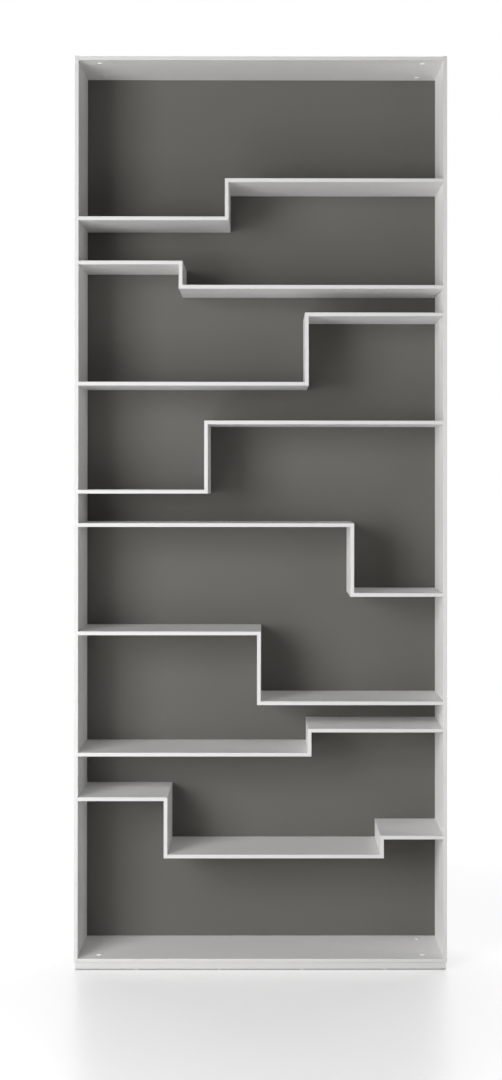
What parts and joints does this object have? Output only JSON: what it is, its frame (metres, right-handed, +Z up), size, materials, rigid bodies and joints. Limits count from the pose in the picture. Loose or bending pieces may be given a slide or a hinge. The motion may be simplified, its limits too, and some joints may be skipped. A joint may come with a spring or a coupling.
{
  "type": "bookcase",
  "caption": "Tall shallow floor-standing bookcase with stepped mitred shelves between two thin sides, a dark back panel, a low plinth and adjustable feet.",
  "frame": {"origin": "On the floor, at the middle of the width and depth.", "axes": "+Z up, along the height; +X to the right seen from the front; the front faces -Y."},
  "size_m": [0.9, 0.26, 2.2305],
  "materials": {
    "lacquer_sides": "matt off-white lacquer on fibreboard",
    "lacquer_top_base": "matt off-white lacquer on fibreboard",
    "lacquer_plinth": "matt off-white lacquer on fibreboard",
    "lacquer_shelves": "matt off-white lacquer on fibreboard, crisp mitred edges",
    "back_panel": "matt warm dark-grey lacquer on fibreboard",
    "plywood_tongues": "bare birch plywood, hidden in the mitres",
    "caps": "satin off-white moulded plastic",
    "foot_pads": "black moulded plastic, fine matt grain",
    "studs": "zinc-plated steel thread",
    "sleeves": "zinc-plated steel",
    "screws": "zinc-plated steel",
    "brackets": "zinc-plated folded steel"
  },
  "bodies": {
    "carcass": {"side_left": "lacquer_sides", "side_right": "lacquer_sides", "top_board": "lacquer_top_base", "base_board": "lacquer_top_base", "back_panel": "back_panel", "plinth_front": "lacquer_plinth", "plinth_back": "lacquer_plinth", "plinth_left": "lacquer_plinth", "plinth_right": "lacquer_plinth", "shelf_1_left": "lacquer_shelves", "shelf_1_riser": "lacquer_shelves", "shelf_1_right": "lacquer_shelves", "shelf_2_left": "lacquer_shelves", "shelf_2_riser": "lacquer_shelves", "shelf_2_right": "lacquer_shelves", "shelf_3_left": "lacquer_shelves", "shelf_3_riser": "lacquer_shelves", "shelf_3_right": "lacquer_shelves", "shelf_4_left": "lacquer_shelves", "shelf_4_riser": "lacquer_shelves", "shelf_4_right": "lacquer_shelves", "shelf_5_left": "lacquer_shelves", "shelf_5_riser": "lacquer_shelves", "shelf_5_right": "lacquer_shelves", "shelf_6_left": "lacquer_shelves", "shelf_6_riser": "lacquer_shelves", "shelf_6_right": "lacquer_shelves", "shelf_7_left": "lacquer_shelves", "shelf_7_riser": "lacquer_shelves", "shelf_7_right": "lacquer_shelves", "shelf_8_left": "lacquer_shelves", "shelf_8_left_riser": "lacquer_shelves", "shelf_8_middle": "lacquer_shelves", "shelf_8_right_riser": "lacquer_shelves", "shelf_8_right": "lacquer_shelves", "mitre_tongues": "plywood_tongues", "top_caps": "caps", "foot_sleeves": "sleeves", "back_panel_screws": "screws", "plinth_screws": "screws", "wall_bracket_left": "brackets", "wall_bracket_right": "brackets", "bracket_screws": "screws"},
    "pad_front_left": {"foot_pad_front_left": "foot_pads"},
    "stud_front_left": {"foot_stud_front_left": "studs"},
    "cap_front_left": {"base_cap_front_left": "caps"},
    "pad_front_right": {"foot_pad_front_right": "foot_pads"},
    "stud_front_right": {"foot_stud_front_right": "studs"},
    "cap_front_right": {"base_cap_front_right": "caps"},
    "pad_back_left": {"foot_pad_back_left": "foot_pads"},
    "stud_back_left": {"foot_stud_back_left": "studs"},
    "cap_back_left": {"base_cap_back_left": "caps"},
    "pad_back_right": {"foot_pad_back_right": "foot_pads"},
    "stud_back_right": {"foot_stud_back_right": "studs"},
    "cap_back_right": {"base_cap_back_right": "caps"}
  },
  "joints": [
    {"name": "foot_front_left", "type": "slide", "parent": "carcass", "child": "pad_front_left", "axis": [0, 0, -1], "range_m": [0, 0.007]},
    {"name": "stud_turn_front_left", "type": "hinge", "parent": "pad_front_left", "child": "stud_front_left", "pos_m": [-0.393, -0.086, 0], "axis": [0, 0, -1], "range_deg": [0, 2016.5]},
    {"name": "cap_lift_front_left", "type": "slide", "parent": "carcass", "child": "cap_front_left", "axis": [0, 0, 1], "range_m": [0, 0.04]},
    {"name": "foot_front_right", "type": "slide", "parent": "carcass", "child": "pad_front_right", "axis": [0, 0, -1], "range_m": [0, 0.007]},
    {"name": "stud_turn_front_right", "type": "hinge", "parent": "pad_front_right", "child": "stud_front_right", "pos_m": [0.393, -0.086, 0], "axis": [0, 0, -1], "range_deg": [0, 2016.5]},
    {"name": "cap_lift_front_right", "type": "slide", "parent": "carcass", "child": "cap_front_right", "axis": [0, 0, 1], "range_m": [0, 0.04]},
    {"name": "foot_back_left", "type": "slide", "parent": "carcass", "child": "pad_back_left", "axis": [0, 0, -1], "range_m": [0, 0.007]},
    {"name": "stud_turn_back_left", "type": "hinge", "parent": "pad_back_left", "child": "stud_back_left", "pos_m": [-0.393, 0.086, 0], "axis": [0, 0, -1], "range_deg": [0, 2016.5]},
    {"name": "cap_lift_back_left", "type": "slide", "parent": "carcass", "child": "cap_back_left", "axis": [0, 0, 1], "range_m": [0, 0.04]},
    {"name": "foot_back_right", "type": "slide", "parent": "carcass", "child": "pad_back_right", "axis": [0, 0, -1], "range_m": [0, 0.007]},
    {"name": "stud_turn_back_right", "type": "hinge", "parent": "pad_back_right", "child": "stud_back_right", "pos_m": [0.393, 0.086, 0], "axis": [0, 0, -1], "range_deg": [0, 2016.5]},
    {"name": "cap_lift_back_right", "type": "slide", "parent": "carcass", "child": "cap_back_right", "axis": [0, 0, 1], "range_m": [0, 0.04]}
  ],
  "couplings": [
    {"joint": "stud_turn_front_left", "follows": "foot_front_left", "rad_per_m": 5026.5},
    {"joint": "stud_turn_front_right", "follows": "foot_front_right", "rad_per_m": 5026.5},
    {"joint": "stud_turn_back_left", "follows": "foot_back_left", "rad_per_m": 5026.5},
    {"joint": "stud_turn_back_right", "follows": "foot_back_right", "rad_per_m": 5026.5}
  ]
}
